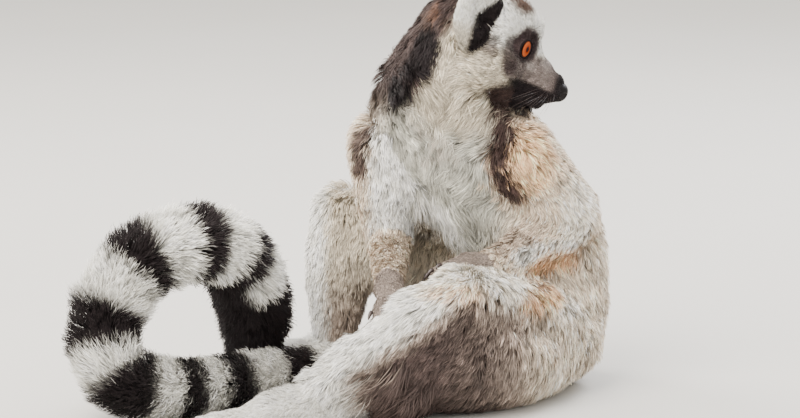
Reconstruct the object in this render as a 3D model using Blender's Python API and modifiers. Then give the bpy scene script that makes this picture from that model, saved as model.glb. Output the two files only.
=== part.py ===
"""Ring-tailed lemur, adult female, sitting upright with its head turned over its left shoulder.

A still, life-size model in metres, +Z up, standing on z = 0 with the origin under the middle of its
box. Every solid runs out to the tips of the coat. The trunk, each limb, each ear and the tail are
modelled whole from overlapping ellipsoids, closed into one smooth surface, cleared of their
neighbours and then parted with thin cuts at the joints.
"""

import math

import bmesh
import bpy
from mathutils import Matrix, Vector

MM = 0.001
GAP = 0.35 * MM  # left between touching parts
CUT = 0.3 * MM  # width of the cuts at the joints
FLOOR_MARGIN = 60 * MM

# The middle of the sitting animal's box, taken off every place below.
CENTRE = Vector((-41.7, -19.2, 0.0))


def place(x, y, z):
    """A point in metres from its place in millimetres, measured from the middle of the lap."""
    return (Vector((x, y, z)) - CENTRE) * MM


# Joints of the skeleton.
HIP = {"left": place(116, 4, 40), "right": place(84, 66, 38)}
KNEE = {"left": place(44, -98, 92), "right": place(-42, 67, 128)}
ANKLE = {"left": place(-63, -107, 19), "right": place(-52, 60, 20)}
SHOULDER = {"left": place(84, -42, 190), "right": place(-10, 2, 190)}
ELBOW = {"left": place(131, -14, 134), "right": place(-8, 14, 114)}
WRIST = {"left": place(66, -60, 107), "right": place(-8, -68, 98)}
EYES_MIDDLE = place(91, -30, 265.5)

# The head looks along +X, a little towards -Y, nose down.
HEAD_YAW = math.radians(-3)
HEAD_PITCH = math.radians(16)
EYE_SPACING = 31 * MM
EYE_FORWARD = -3.4 * MM
EYE_RAISE = 1.5 * MM
EYE_RADIUS = 7.6 * MM
EYE_TURN = math.radians(37)  # each eye looks this far out from straight ahead

UP = Vector((0, 0, 1))


def frame(origin, along, side):
    """A matrix whose axes run along, to the side, and across both."""
    x = along.normalized()
    y = (side - side.dot(x) * x).normalized()
    z = x.cross(y)
    return Matrix.Translation(origin) @ Matrix((x, y, z)).transposed().to_4x4()


def smooth_rows(rows, steps):
    """Rows of numbers read from a smooth curve through the given rows."""
    padded = [rows[0], *rows, rows[-1]]
    out = []
    for i in range(len(rows) - 1):
        a, b, c, d = padded[i : i + 4]
        for k in range(steps):
            t = k / steps
            weights = (
                -0.5 * t + t * t - 0.5 * t**3,
                1 - 2.5 * t * t + 1.5 * t**3,
                0.5 * t + 2 * t * t - 1.5 * t**3,
                -0.5 * t * t + 0.5 * t**3,
            )
            out.append([sum(w * q for w, q in zip(weights, four)) for four in zip(a, b, c, d)])
    return [*out, list(rows[-1])]


def add_ball(bm, matrix, radii, segments=16):
    """An ellipsoid with its radii along the matrix's axes."""
    scale = Matrix.Diagonal((*radii, 1))
    bmesh.ops.create_uvsphere(
        bm, u_segments=segments, v_segments=segments * 5 // 8, radius=1, matrix=matrix @ scale
    )


def add_chain(bm, stations, sides, steps=6):
    """Ellipsoids along a smooth line through stations of (point, half width, half depth).

    The width lies along a direction that turns from sides[0] to sides[1].
    """
    rows = smooth_rows([(*p, w * MM, d * MM) for p, w, d in stations], steps)
    points = [Vector(row[:3]) for row in rows]
    last = len(rows) - 1
    for i, row in enumerate(rows):
        along = points[min(i + 1, last)] - points[max(i - 1, 0)]
        side = sides[0].lerp(sides[1], i / last)
        half_width, half_depth = row[3:]
        length = 0.85 * min(half_width, half_depth)
        add_ball(bm, frame(points[i], along, side), (length, half_width, half_depth))


def link(obj, collection):
    collection.objects.link(obj)
    return obj


def hidden(obj):
    obj.hide_render = True
    obj.display_type = "WIRE"
    return link(obj, helpers)


def mesh_object(name, bm):
    mesh = bpy.data.meshes.new(name)
    bmesh.ops.recalc_face_normals(bm, faces=bm.faces[:])
    bm.to_mesh(mesh)
    bm.free()
    return bpy.data.objects.new(name, mesh)


def apply_modifiers(obj):
    """Turns the object's modifiers into its mesh."""
    graph = bpy.context.evaluated_depsgraph_get()
    mesh = bpy.data.meshes.new_from_object(obj.evaluated_get(graph))
    obj.modifiers.clear()
    obj.data = mesh
    return obj


def keep_largest(obj):
    """Drops the scraps that a cut leaves beside the main body."""
    bm = bmesh.new()
    bm.from_mesh(obj.data)
    for island in islands(bm)[1:]:
        bmesh.ops.delete(bm, geom=island, context="VERTS")
    bm.to_mesh(obj.data)
    bm.free()
    return obj


def islands(bm):
    """Lists of the vertices that hang together, largest first."""
    left = set(bm.verts)
    found = []
    while left:
        seed = left.pop()
        group, front = [seed], [seed]
        while front:
            vert = front.pop()
            for edge in vert.link_edges:
                other = edge.other_vert(vert)
                if other in left:
                    left.discard(other)
                    group.append(other)
                    front.append(other)
        found.append(group)
    return sorted(found, key=len, reverse=True)


def closed_form(name, bm, voxel, faces, smoothing=4, fine=None):
    """One smooth closed surface round everything in the mesh, with about that many triangles.

    They are closer together where fine(point) holds.
    """
    obj = hidden(mesh_object(name, bm))
    remesh = obj.modifiers.new("close", "REMESH")
    remesh.mode = "VOXEL"
    remesh.voxel_size = voxel * MM
    smooth = obj.modifiers.new("smooth", "SMOOTH")
    smooth.factor = 0.5
    smooth.iterations = smoothing
    apply_modifiers(obj)
    thin = obj.modifiers.new("thin", "DECIMATE")
    thin.ratio = min(1.0, faces / (2 * len(obj.data.polygons)))
    thin.use_collapse_triangulate = True
    if fine:
        coarse = obj.vertex_groups.new(name="coarse")
        for vert in obj.data.vertices:
            coarse.add([vert.index], 0.6 if fine(vert.co) else 1, "REPLACE")
        thin.vertex_group = coarse.name
    return keep_largest(apply_modifiers(obj))


def swollen(obj, by=GAP):
    """A copy of the object grown by the gap, to clear its neighbours with."""
    copy = hidden(bpy.data.objects.new(obj.name + "_room", obj.data.copy()))
    grow = copy.modifiers.new("grow", "DISPLACE")
    grow.strength = by
    grow.mid_level = 0
    return apply_modifiers(copy)


def cut(obj, *cutters):
    """Takes the cutters away from the object, one at a time."""
    for cutter in cutters:
        away = obj.modifiers.new("cut", "BOOLEAN")
        away.operation = "DIFFERENCE"
        away.object = cutter
        apply_modifiers(obj)
    return keep_largest(obj)


def floor_block():
    """A block under the floor, which leaves flats where the animal rests."""
    bm = bmesh.new()
    size = Vector((0.8, 0.6, 2 * FLOOR_MARGIN))
    bmesh.ops.create_cube(bm, size=1, matrix=Matrix.Diagonal((*size, 1)))
    block = hidden(mesh_object("floor", bm))
    block.data.transform(Matrix.Translation((0, 0, -FLOOR_MARGIN)))
    return block


def part(whole, cuts, names):
    """Parts a whole with thin discs of (centre, normal, radius) and names the pieces.

    names maps each node's name to (a point in it, its material).
    """
    for centre, normal, radius in cuts:
        bm = bmesh.new()
        turn = normal.to_track_quat("Z", "Y").to_matrix().to_4x4()
        bmesh.ops.create_cone(
            bm, cap_ends=True, segments=16, radius1=radius, radius2=radius, depth=CUT,
            matrix=Matrix.Translation(centre) @ turn,
        )
        disc = hidden(mesh_object("disc", bm))
        away = whole.modifiers.new("cut", "BOOLEAN")
        away.operation = "DIFFERENCE"
        away.object = disc
        apply_modifiers(whole)
    bm = bmesh.new()
    bm.from_mesh(whole.data)
    pieces = islands(bm)[: len(names)]
    bm.verts.index_update()
    homes = {}
    for name, (point, _) in names.items():
        near = [min((vert.co - point).length for vert in piece) for piece in pieces]
        middle = [(sum((v.co for v in piece), Vector()) / len(piece) - point).length for piece in pieces]
        free = [i for i in range(len(pieces)) if i not in homes]
        homes[min(free, key=lambda i: middle[i] + 0.2 * near[i])] = name
    for i, name in homes.items():
        keep = {vert.index for vert in pieces[i]}
        copy = bm.copy()
        copy.verts.ensure_lookup_table()
        others = [vert for vert in copy.verts if vert.index not in keep]
        bmesh.ops.delete(copy, geom=others, context="VERTS")
        finish(link(mesh_object(name, copy), animal), names[name][1])
    bm.free()


def material(name, colour, roughness):
    found = bpy.data.materials.get(name)
    if found:
        return found
    made = bpy.data.materials.new(name)
    made.use_nodes = True
    made.diffuse_color = (*colour, 1)
    shader = made.node_tree.nodes["Principled BSDF"]
    shader.inputs["Base Color"].default_value = (*colour, 1)
    shader.inputs["Roughness"].default_value = roughness
    shader.inputs["Metallic"].default_value = 0
    return made


def finish(obj, coat):
    obj.data.materials.clear()
    obj.data.materials.append(coat)
    obj.data.shade_smooth()
    obj.data.set_sharp_from_angle(angle=math.radians(50))
    return obj


def collection_named(name):
    made = bpy.data.collections.new(name)
    bpy.context.scene.collection.children.link(made)
    return made


for old in list(bpy.data.objects):
    bpy.data.objects.remove(old)
animal = collection_named("ring_tailed_lemur")
helpers = collection_named("helpers")

GREY = material("grey_fur", (0.42, 0.39, 0.36), 0.9)
BROWN = material("grey_brown_fur", (0.36, 0.28, 0.22), 0.9)
CREAM = material("cream_fur", (0.66, 0.62, 0.54), 0.9)
WHITE = material("white_fur", (0.78, 0.77, 0.74), 0.9)
BLACK = material("black_fur", (0.02, 0.016, 0.02), 0.85)
NOSE_SKIN = material("black_nose_skin", (0.012, 0.01, 0.012), 0.45)
AMBER = material("amber_eye", (0.62, 0.12, 0.02), 0.08)

BELOW = floor_block()


# ---------------------------------------------------------------- head

FORWARD = Vector(
    (
        math.cos(HEAD_PITCH) * math.cos(HEAD_YAW),
        math.cos(HEAD_PITCH) * math.sin(HEAD_YAW),
        -math.sin(HEAD_PITCH),
    )
)
HEAD = frame(EYES_MIDDLE, FORWARD, UP.cross(FORWARD))


def in_head(forward, left, up):
    """A point of the head, in millimetres from the middle between the eyes."""
    return HEAD @ (Vector((forward, left, up)) * MM)


def in_face(point):
    forward, _, up = HEAD.inverted() @ point
    return forward > -26 * MM and up > -48 * MM


def head_ball(bm, centre, radii):
    add_ball(bm, HEAD @ Matrix.Translation(Vector(centre) * MM), Vector(radii) * MM, 20)


def add_head(bm):
    head_ball(bm, (-21, 0, 2), (32, 29, 32))
    head_ball(bm, (-36, 0, 2), (32, 30, 32))
    head_ball(bm, (-7, 0, 6), (17, 20, 22))
    for side in (-1, 1):
        head_ball(bm, (-20, 17 * side, -16), (24, 17, 22))
        head_ball(bm, (-4, 10 * side, -12), (13, 12, 14))
    # The bridge and the muzzle taper to the nose.
    muzzle = ((0, 0, 11, 13), (6, -12, 12, 14), (14, -19, 11, 14), (23, -24, 10, 12.5), (33, -26, 7.5, 8))
    add_chain(bm, [(in_head(f, 0, u), w, d) for f, u, w, d in muzzle], [HEAD.col[1].xyz] * 2, 4)
    jaw = ((-12, -27, 16, 13), (6, -34, 12, 10), (19, -37, 8.5, 7.5))
    add_chain(bm, [(in_head(f, 0, u), w, d) for f, u, w, d in jaw], [HEAD.col[1].xyz] * 2, 4)


def make_ear(name, side, faces):
    """An upright cup of skin and fur that opens forwards and outwards."""
    root, tip = in_head(-34, 22 * side, -5), in_head(-45, 38 * side, 44)
    along = tip - root
    opening = HEAD.to_3x3() @ Vector((0.55, 0.8 * side, 0.05))
    bm = bmesh.new()
    widths = ((0.0, 13, 10), (0.3, 21, 9), (0.6, 20, 7), (0.88, 13, 5))
    across = along.cross(opening)
    add_chain(bm, [(root + along * t, w, d) for t, w, d in widths], [across] * 2, 5)
    ear = closed_form(name, bm, 1.6, faces, 3)
    bm = bmesh.new()
    hollow = frame(root + along * 0.5 + opening.normalized() * 10 * MM, along, across)
    add_ball(bm, hollow, (20 * MM, 12 * MM, 9 * MM), 14)
    return cut(ear, hidden(mesh_object(name + "_hollow", bm)))


def eye_centre(side):
    return HEAD @ Matrix.Translation((EYE_FORWARD, side * EYE_SPACING / 2, EYE_RAISE))


def make_eye(name, side):
    bm = bmesh.new()
    add_ball(bm, eye_centre(side), [EYE_RADIUS] * 3, 10)
    return finish(link(mesh_object(name, bm), animal), AMBER)


def make_socket(name, side):
    """A shallow bowl in front of the eye, which lets it show between its lids."""
    bm = bmesh.new()
    turned = eye_centre(side) @ Matrix.Rotation(side * EYE_TURN, 4, "Z")
    add_ball(bm, turned @ Matrix.Translation((7.5 * MM, 0, 0)), Vector((5.5, 7.2, 7.6)) * MM, 14)
    return hidden(mesh_object(name, bm))


# ---------------------------------------------------------------- trunk and neck

RUMP_SIDE = Vector((0.5, -0.87, 0))
CHEST_SIDE = Vector((0.91, -0.42, 0))


def add_trunk(bm):
    spine = (
        (108, 37, 35, 58, 44),
        (106, 33, 75, 60, 51),
        (99, 27, 110, 58, 56),
        (82, 18, 145, 58, 55),
        (58, 6, 175, 61, 52),
        (37, -3, 200, 65, 46),
        (32, -8, 222, 57, 42),
        (37, -13, 242, 47, 39),
        (45, -18, 262, 40, 36),
    )
    stations = [(place(x, y, z), w, d) for x, y, z, w, d in spine]
    add_chain(bm, stations, (RUMP_SIDE, CHEST_SIDE))
    # The ruff behind the ear.
    add_chain(
        bm,
        [(place(40, -16, 268), 34, 32), (place(46, -20, 284), 30, 30)],
        [Vector((1, 0, 0))] * 2,
    )


# ---------------------------------------------------------------- limbs


def fingers(bm, palm, tips, radius):
    """Five digits from the palm to their tips."""
    for tip in tips:
        add_chain(
            bm,
            [(palm.lerp(tip, 0.25), radius * 1.15, radius), (tip, radius * 0.8, radius * 0.75)],
            [UP] * 2,
            5,
        )


def make_leg(side, rows, foot_rows, toe_tips, faces):
    """Thigh, shin and foot in one. Rows are (place, half width, half depth)."""
    bm = bmesh.new()
    normal = (KNEE[side] - HIP[side]).cross(ANKLE[side] - KNEE[side]).normalized()
    for chain in rows:
        add_chain(bm, chain, [normal] * 2)
    flat = (foot_rows[-1][0] - foot_rows[0][0]).cross(UP)
    add_chain(bm, foot_rows, [flat] * 2)
    fingers(bm, foot_rows[-1][0], toe_tips, 6)
    return cut(closed_form("leg_" + side, bm, 3, faces), BELOW)


def make_arm(side, chain, hand_rows, tips, faces):
    bm = bmesh.new()
    normal = (ELBOW[side] - SHOULDER[side]).cross(WRIST[side] - ELBOW[side]).normalized()
    add_chain(bm, chain, [normal] * 2)
    flat = (hand_rows[-1][0] - hand_rows[0][0]).cross(UP)
    add_chain(bm, hand_rows, [flat] * 2)
    fingers(bm, hand_rows[-1][0], tips, 4.5)
    return closed_form("arm_" + side, bm, 3, faces)


LEFT_LEG = (
    [
        (HIP["left"], 36, 40),
        (HIP["left"].lerp(KNEE["left"], 0.5), 34, 40),
        (KNEE["left"], 25, 27),
    ],
    [
        (KNEE["left"], 24, 26),
        (KNEE["left"].lerp(ANKLE["left"], 0.35), 25, 28),
        (KNEE["left"].lerp(ANKLE["left"], 0.75), 18, 19),
        (ANKLE["left"], 13, 14),
    ],
    # Thigh and calf fur fill the fold under the knee down to the ground.
    [
        (place(106, -14, 30), 30, 34),
        (place(82, -52, 36), 32, 42),
        (place(44, -82, 40), 30, 44),
        (place(4, -92, 32), 22, 32),
    ],
)
LEFT_FOOT = [
    (place(-44, -102, 12), 12, 14),
    (place(-72, -108, 13), 14, 14),
    (place(-104, -114, 9), 17, 11),
]
LEFT_TOES = [
    place(-143, -136, 5),
    place(-147, -126, 5),
    place(-145, -115, 5),
    place(-138, -104, 5),
    place(-106, -90, 5),
]

RIGHT_LEG = (
    [
        (HIP["right"], 36, 40),
        (HIP["right"].lerp(KNEE["right"], 0.5), 33, 39),
        (KNEE["right"], 24, 26),
    ],
    [
        (KNEE["right"], 24, 27),
        (KNEE["right"].lerp(ANKLE["right"], 0.4), 24, 29),
        (KNEE["right"].lerp(ANKLE["right"], 0.8), 17, 20),
        (ANKLE["right"], 13, 14),
    ],
    [(place(60, 66, 36), 28, 36), (place(24, 66, 62), 24, 30)],
)
RIGHT_FOOT = [
    (place(-36, 60, 12), 12, 14),
    (place(-62, 64, 11), 13, 13),
    (place(-92, 70, 9), 16, 11),
]
RIGHT_TOES = [
    place(-124, 60, 5),
    place(-131, 69, 5),
    place(-132, 79, 5),
    place(-127, 89, 5),
    place(-86, 90, 5),
]

LEFT_ARM = [
    (SHOULDER["left"], 26, 30),
    (SHOULDER["left"].lerp(ELBOW["left"], 0.5), 24, 27),
    (ELBOW["left"], 18, 20),
    (ELBOW["left"].lerp(WRIST["left"], 0.5), 15, 19),
    (WRIST["left"], 11, 13),
]
LEFT_HAND = [(WRIST["left"], 11, 10), (place(48, -64, 111), 13, 8)]
LEFT_FINGERS = [
    place(25, -62, 100),
    place(23, -69, 103),
    place(25, -76, 107),
    place(30, -83, 112),
    place(40, -52, 102),
]

RIGHT_ARM = [
    (SHOULDER["right"], 30, 30),
    (SHOULDER["right"].lerp(ELBOW["right"], 0.4), 28, 29),
    (ELBOW["right"], 18, 20),
    (ELBOW["right"].lerp(WRIST["right"], 0.5), 15, 18),
    (WRIST["right"], 11, 12),
]
RIGHT_HAND = [(WRIST["right"], 11, 10), (place(-8, -84, 93), 13, 8)]
RIGHT_FINGERS = [
    place(-20, -104, 82),
    place(-12, -108, 84),
    place(-4, -108, 86),
    place(4, -104, 88),
    place(8, -88, 92),
]


# ---------------------------------------------------------------- tail

TAIL = (
    (116, 41, 22, 17),
    (58, 19, 17, 18),
    (0, 4, 17, 18.5),
    (-54, -8, 18, 19),
    (-95, -28, 19, 20),
    (-138, -66, 21, 22),
    (-178, -100, 25, 25),
    (-205, -108, 38, 28),
    (-213, -94, 74, 30),
    (-191, -76, 111, 31),
    (-161, -60, 123, 31),
    (-133, -36, 118, 30),
    (-116, -12, 94, 31),
    (-111, 14, 58, 30),
    (-113, 30, 27, 22),
    (-113, 33, 10, 12),
)
TAIL_LENGTHS = 8


def make_tail(faces):
    """The tail in one, and its middle line for parting it."""
    bm = bmesh.new()
    stations = [(place(x, y, z), r, r) for x, y, z, r in TAIL]
    add_chain(bm, stations, (Vector((0.3, -1, 0)), Vector((0, -0.4, 1))), 5)
    line = smooth_rows([(*point, radius * MM) for point, radius, _ in stations], 12)
    return cut(closed_form("tail", bm, 3.4, faces), BELOW), line


# ---------------------------------------------------------------- wholes, cleared of each other

tail, tail_line = make_tail(700)
leg_left = make_leg("left", LEFT_LEG, LEFT_FOOT, LEFT_TOES, 620)
leg_right = make_leg("right", RIGHT_LEG, RIGHT_FOOT, RIGHT_TOES, 560)
arm_left = make_arm("left", LEFT_ARM, LEFT_HAND, LEFT_FINGERS, 400)
arm_right = make_arm("right", RIGHT_ARM, RIGHT_HAND, RIGHT_FINGERS, 400)

room_tail = swollen(tail)
cut(leg_left, room_tail)
cut(leg_right, room_tail)
room_legs = [swollen(leg_left), swollen(leg_right)]
cut(leg_right, room_legs[0])
cut(arm_left, *room_legs)
cut(arm_right, *room_legs)
room_arms = [swollen(arm_left), swollen(arm_right)]

body_mesh = bmesh.new()
add_trunk(body_mesh)
add_head(body_mesh)
body = closed_form("body", body_mesh, 2.6, 1540, 3, fine=in_face)
head_shape = swollen(body, 3 * GAP)
ears = {}
for side_name, side_sign in (("left", 1), ("right", -1)):
    ears[side_name] = cut(make_ear("ear_" + side_name, side_sign, 120), head_shape)
    finish(ears[side_name], WHITE)
    helpers.objects.unlink(ears[side_name])
    link(ears[side_name], animal)
    ears[side_name].hide_render = False
    ears[side_name].display_type = "TEXTURED"
    eye = make_eye("eye_" + side_name, side_sign)
    cut(body, make_socket("socket_" + side_name, side_sign), swollen(eye))
cut(body, room_tail, *room_legs, *room_arms, BELOW)


# ---------------------------------------------------------------- parting at the joints

part(
    body,
    [
        (in_head(35, 0, -26), FORWARD, 14 * MM),
        (place(45, -20, 241), Vector((0.42, 0, 0.91)), 82 * MM),
        (place(30, -5, 212), Vector((0.05, 0, 1)), 110 * MM),
        (place(74, 14, 160), Vector((-0.5, -0.2, 0.85)), 120 * MM),
        (place(104, 32, 92), Vector((-0.1, 0, 1)), 110 * MM),
    ],
    {
        "nose": (in_head(38, 0, -26), NOSE_SKIN),
        "head": (in_head(-14, 0, -4), WHITE),
        "neck": (place(38, -10, 236), GREY),
        "chest": (place(50, 2, 188), WHITE),
        "belly": (place(90, 24, 125), GREY),
        "rump": (place(106, 36, 50), GREY),
    },
)


def middle(a, b):
    return a.lerp(b, 0.5)


for side_name, leg, foot_rows, reach in (
    ("left", leg_left, LEFT_FOOT, 110 * MM),
    ("right", leg_right, RIGHT_FOOT, 78 * MM),
):
    hip, knee, ankle = HIP[side_name], KNEE[side_name], ANKLE[side_name]
    part(
        leg,
        [
            (knee, (ankle - knee).normalized() + (knee - hip).normalized(), reach),
            (ankle.lerp(knee, 0.06), ankle - knee, 30 * MM),
        ],
        {
            "foot_" + side_name: (foot_rows[-1][0], WHITE),
            "shin_" + side_name: (middle(knee, ankle), BROWN),
            "thigh_" + side_name: (middle(hip, knee), GREY),
        },
    )

for side_name, arm, hand_rows in (("left", arm_left, LEFT_HAND), ("right", arm_right, RIGHT_HAND)):
    shoulder, elbow, wrist = SHOULDER[side_name], ELBOW[side_name], WRIST[side_name]
    part(
        arm,
        [
            (elbow, (wrist - elbow).normalized() + (elbow - shoulder).normalized(), 60 * MM),
            (wrist, wrist - elbow, 22 * MM),
        ],
        {
            "hand_" + side_name: (hand_rows[-1][0], GREY),
            "forearm_" + side_name: (middle(elbow, wrist), GREY),
            "upper_arm_" + side_name: (middle(shoulder, elbow), BROWN),
        },
    )

tail_cuts = []
tail_names = {}
last_row = len(tail_line) - 1
for i in range(TAIL_LENGTHS):
    if i:
        at = i * last_row // TAIL_LENGTHS
        here = Vector(tail_line[at][:3])
        normal = Vector(tail_line[at + 1][:3]) - Vector(tail_line[at - 1][:3])
        tail_cuts.append((here, normal, tail_line[at][3] * 1.5))
    mid_row = (2 * i + 1) * last_row // (2 * TAIL_LENGTHS)
    tail_names[f"tail_{i + 1}"] = (Vector(tail_line[mid_row][:3]), BLACK if i % 2 else WHITE)
part(tail, tail_cuts, tail_names)
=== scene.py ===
"""Ring-tailed lemur, adult, sitting upright: a still life-size model as a museum shows.

One hide covers the whole animal. The coat grows on it as many thin pointed tufts that follow the
lie of the hair, and the eyes, lids, nose, nails and whiskers are pieces of their own.
Shapes are worked out in millimetres from the middle of the lap, and finished in metres.
"""

import math

import bmesh
import bpy
import numpy as np
from mathutils import Matrix, Vector
from mathutils.bvhtree import BVHTree
from mathutils.kdtree import KDTree


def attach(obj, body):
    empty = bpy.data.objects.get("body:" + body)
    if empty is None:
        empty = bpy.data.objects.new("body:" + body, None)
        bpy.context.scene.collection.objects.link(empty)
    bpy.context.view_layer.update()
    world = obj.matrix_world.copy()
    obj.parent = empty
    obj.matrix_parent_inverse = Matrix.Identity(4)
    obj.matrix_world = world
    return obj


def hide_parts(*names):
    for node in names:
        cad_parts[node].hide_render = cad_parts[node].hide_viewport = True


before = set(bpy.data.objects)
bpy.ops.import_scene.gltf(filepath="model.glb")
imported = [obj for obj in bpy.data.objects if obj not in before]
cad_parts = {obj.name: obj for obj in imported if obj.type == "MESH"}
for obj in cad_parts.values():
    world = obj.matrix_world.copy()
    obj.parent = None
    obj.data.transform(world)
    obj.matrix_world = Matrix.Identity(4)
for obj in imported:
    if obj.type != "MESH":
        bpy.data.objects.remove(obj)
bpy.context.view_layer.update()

# ---------------------------------------------------------------- the hide
# The animal's skin, one soft closed surface from the muzzle to the tip of the tail. The flesh
# nodes are fused and smoothed, the face is modelled on, and the hide is then drawn in by the
# depth of the coat, so that the tips of the coat reach the outline of the solids.

MM = 0.001
LAP = np.array((-41.7, -19.2, 0.0))  # the middle of the box, from the middle of the lap
FUSE = 0.45  # how far the parts are grown so that the cuts between them close
BODY_GRAIN, FINE_GRAIN = 3.0, 1.3  # sizes of the hide's facets
BODY_ROUNDS, FINE_ROUNDS = 5, 8  # how often each is softened
SHARED_ROWS = 3  # rows of facets that the two lap over by
FINE_PARTS = ("head", "ear", "eye", "nose", "hand", "foot")

# Depth of the coat on each part. On the head and the tail it changes from place to place.
COAT_DEPTH = {
    "ear": 1.1,
    "neck": 10.0,
    "chest": 10.0,
    "belly": 10.0,
    "rump": 9.5,
    "thigh": 8.5,
    "shin": 6.0,
    "foot": 1.8,
    "upper_arm": 7.5,
    "forearm": 5.0,
    "hand": 1.3,
}
TAIL_COAT_SHARE = 0.5  # of the tail's radius that is coat
NORMAL_ROUNDS, DEPTH_ROUNDS = 6, 14  # how often the skin's slopes and the coat's depth are eased
HIDE_CLEARANCE = 1.5  # of the hide over the floor


def in_mm(points):
    """Places in millimetres from the middle of the lap."""
    return np.asarray(points) / MM + LAP


def in_metres(points):
    """Places in metres in the shared frame, which has its middle in the middle of the box."""
    return (np.asarray(points) - LAP) * MM


def part_of(node):
    """The body part that a node is a side or a length of, such as thigh for thigh_left."""
    stem, _, last = node.rpartition("_")
    return stem if last in ("left", "right") or last.isdigit() else node


def unit(vectors):
    """Vectors of length 1 that point the same way."""
    return vectors / np.maximum(np.linalg.norm(vectors, axis=-1, keepdims=True), 1e-9)


def ramp(values, start, end):
    """Rises smoothly from 0 at start to 1 at end; start may be the larger."""
    t = np.clip((values - start) / (end - start), 0, 1)
    return t * t * (3 - 2 * t)


def smooth_line(rows, steps):
    """Rows of numbers read from a smooth curve through the given rows."""
    rows = np.array(rows, float)
    padded = np.vstack((rows[:1], rows, rows[-1:]))
    found = []
    for a, b, c, d in zip(padded, padded[1:], padded[2:], padded[3:]):
        for t in np.arange(steps) / steps:
            found.append(
                a * (-0.5 * t + t**2 - 0.5 * t**3) + b * (1 - 2.5 * t**2 + 1.5 * t**3)
                + c * (0.5 * t + 2 * t**2 - 1.5 * t**3) + d * (-0.5 * t**2 + 0.5 * t**3)
            )
    return np.vstack((found, rows[-1:]))


# The head looks along +X, a little towards -Y, nose down. Places in it are (forward, left, up).
EYES_MIDDLE = np.array((91.0, -30.0, 265.5))
HEAD_YAW, HEAD_PITCH = math.radians(-3), math.radians(16)
FORWARD = np.array(
    (
        math.cos(HEAD_PITCH) * math.cos(HEAD_YAW),
        math.cos(HEAD_PITCH) * math.sin(HEAD_YAW),
        -math.sin(HEAD_PITCH),
    )
)
LEFT = unit(np.cross((0, 0, 1), FORWARD))
HEAD = np.array((FORWARD, LEFT, np.cross(FORWARD, LEFT)))


def to_head(points):
    """Places in the head's own directions, from between the eyes."""
    return (points - EYES_MIDDLE) @ HEAD.T


def from_head(points):
    """Places of the head, back among those of the body."""
    return EYES_MIDDLE + np.asarray(points, float) @ HEAD


# The tail's middle line from its root to its tip, with the radius of the coat.
TAIL = smooth_line(
    (
        (116, 41, 22, 17),
        (58, 19, 17, 18),
        (0, 4, 17, 18.5),
        (-54, -8, 18, 19),
        (-95, -28, 19, 20),
        (-138, -66, 21, 22),
        (-178, -100, 25, 25),
        (-205, -108, 38, 28),
        (-213, -94, 74, 30),
        (-191, -76, 111, 31),
        (-161, -60, 123, 31),
        (-133, -36, 118, 30),
        (-116, -12, 94, 31),
        (-111, 14, 58, 30),
        (-113, 30, 27, 22),
        (-113, 33, 10, 12),
    ),
    12,
)
TAIL_STEPS = np.linalg.norm(np.diff(TAIL[:, :3], axis=0), axis=1)
TAIL_FROM_TIP = np.r_[np.cumsum(TAIL_STEPS[::-1])[::-1], 0]
ARCH_START = 9 * 12  # the row at which the tail has left the floor
ROWS_AT_ONCE = 20000  # points that are measured together, to spare memory


def nearest_on(line, points):
    """The row of the line nearest to each point."""
    found = np.empty(len(points), int)
    for start in range(0, len(points), ROWS_AT_ONCE):
        some = points[start : start + ROWS_AT_ONCE]
        gaps = some[:, None, :] - line[None, :, :3]
        found[start : start + ROWS_AT_ONCE] = np.einsum("ijk,ijk->ij", gaps, gaps).argmin(axis=1)
    return found


def tail_rows(points):
    """The row of the tail's line that each point lies on. Its end hangs down close to its start on
    the floor, so points on the hanging end are only read against the rows of the arch."""
    rows = nearest_on(TAIL, points)
    x, y, z = points.T
    behind = y - 0.5 * (x + 95)
    hanging = (x > -150) & (x < -82) & ((z > 46) | ((z > 35) & (behind > -16)) | (behind > -6))
    rows[hanging] = ARCH_START + nearest_on(TAIL[ARCH_START:], points[hanging])
    return rows


def solids_shape():
    """The nodes' own surfaces in one shape, and the node of each of its facets."""
    shape = bmesh.new()
    names = []
    for name, solid in sorted(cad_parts.items()):
        shape.from_mesh(solid.data)
        names += [name] * len(solid.data.polygons)
    return shape, names


def nodes_near(places):
    """The node whose surface is nearest to each place."""
    return np.array([solids_names[solids_tree.find_nearest(Vector(place))[2]] for place in places])


def rows_of(items, name, width, kind=np.float32):
    """A value of each point, edge or facet of a mesh, as rows of numbers."""
    found = np.empty(len(items) * width, kind)
    items.foreach_get(name, found)
    return found.reshape(-1, width)


def closed_flesh(fine, grain, rounds):
    """All the nodes grown into each other and closed, and then only the fine parts or the others."""
    solids = solids_shape()[0]
    solids.normal_update()
    for vert in solids.verts:
        vert.co += vert.normal * (FUSE * MM)
    mesh = bpy.data.meshes.new("flesh")
    solids.to_mesh(mesh)
    solids.free()
    flesh = bpy.data.objects.new("flesh", mesh)
    bpy.context.scene.collection.objects.link(flesh)
    close = flesh.modifiers.new("close", "REMESH")
    close.mode = "VOXEL"
    close.voxel_size = grain * MM
    soften = flesh.modifiers.new("soften", "SMOOTH")
    soften.factor = 0.5
    soften.iterations = rounds
    graph = bpy.context.evaluated_depsgraph_get()
    closed = bpy.data.meshes.new_from_object(flesh.evaluated_get(graph))
    bpy.data.objects.remove(flesh)

    near = nodes_near([vert.co for vert in closed.vertices])
    wanted = np.array([(part_of(name) in FINE_PARTS) == fine for name in near])
    one, two = rows_of(closed.edges, "vertices", 2, np.int32).T
    for _ in range(SHARED_ROWS):
        grown = wanted.copy()
        grown[one] |= wanted[two]
        grown[two] |= wanted[one]
        wanted = grown
    shape = bmesh.new()
    shape.from_mesh(closed)
    shape.verts.ensure_lookup_table()
    spare = [vert for vert in shape.verts if not wanted[vert.index]]
    bmesh.ops.delete(shape, geom=spare, context="VERTS")
    return shape


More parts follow.
